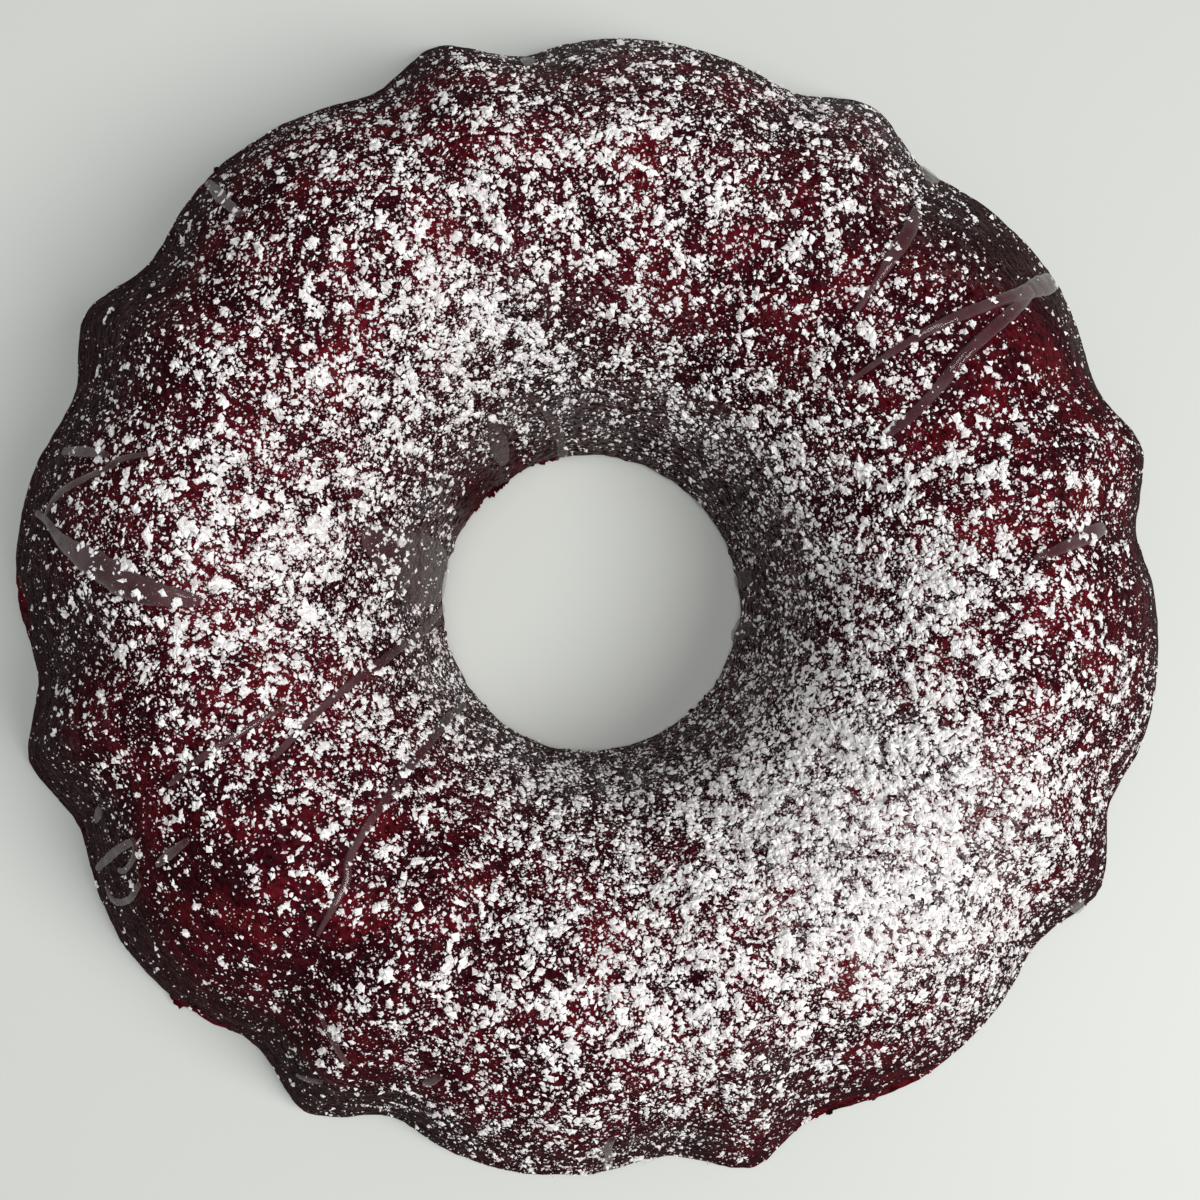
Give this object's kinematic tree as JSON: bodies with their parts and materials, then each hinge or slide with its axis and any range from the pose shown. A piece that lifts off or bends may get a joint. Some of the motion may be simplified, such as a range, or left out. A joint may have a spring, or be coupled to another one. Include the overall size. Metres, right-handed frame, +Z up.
{
  "type": "bundt cake",
  "caption": "Dark red ring cake with a fluted outside and a centre hole, dusted with icing sugar over thin glaze drizzles, resting flat on its base.",
  "frame": {"origin": "middle of the cake's box at its flat base", "axes": "+Z up along the axis of the centre hole; the first ridge left of the +X axis lies about 16 degrees towards +Y"},
  "size_m": [0.2412, 0.2398, 0.0865],
  "materials": {
    "crust": "matte",
    "icing_sugar": "matte",
    "glaze": "gloss"
  },
  "bodies": {
    "root": {"bundt_cake": "crust"}
  },
  "joints": []
}
